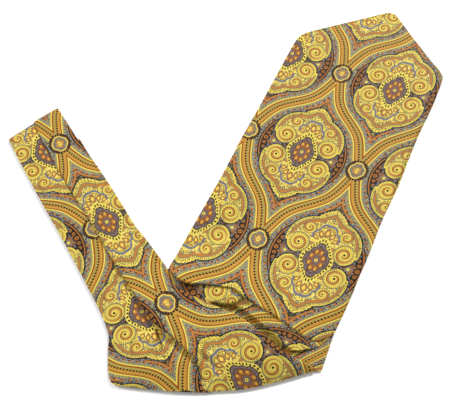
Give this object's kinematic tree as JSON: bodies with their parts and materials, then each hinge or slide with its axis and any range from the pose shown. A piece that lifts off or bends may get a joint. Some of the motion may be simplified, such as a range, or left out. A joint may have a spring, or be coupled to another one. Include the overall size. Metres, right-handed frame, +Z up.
{
  "type": "cravat",
  "caption": "Silk cravat folded in half and laid as a V: narrow pleated neckband, folded turn at the bottom, and a broad blade with a blunt point.",
  "frame": {"origin": "middle of the outline on the table top that the cravat lies on", "axes": "+Z up from the table top, +X to the right of the V, +Y from the turn towards the open ends"},
  "size_m": [0.4155, 0.379, 0.013],
  "materials": {
    "blade_front": "soft sheen",
    "blade_rear": "soft sheen",
    "pleat_left": "soft sheen",
    "pleat_right": "soft sheen",
    "pleat_edge": "soft sheen",
    "neckband_layers": "soft sheen",
    "turn_facet": "soft sheen",
    "turn_pocket": "soft sheen",
    "turn_tuck": "soft sheen",
    "turn_corner": "soft sheen",
    "turn_layers": "soft sheen",
    "turn_layers_left": "soft sheen"
  },
  "bodies": {
    "root": {"blade_front": "blade_front", "blade_rear": "blade_rear", "pleat_left": "pleat_left", "pleat_right": "pleat_right", "pleat_edge": "pleat_edge", "neckband_layers": "neckband_layers", "turn_facet": "turn_facet", "turn_pocket": "turn_pocket", "turn_tuck": "turn_tuck", "turn_corner": "turn_corner", "turn_layers": "turn_layers", "turn_layers_left": "turn_layers_left"}
  },
  "joints": []
}
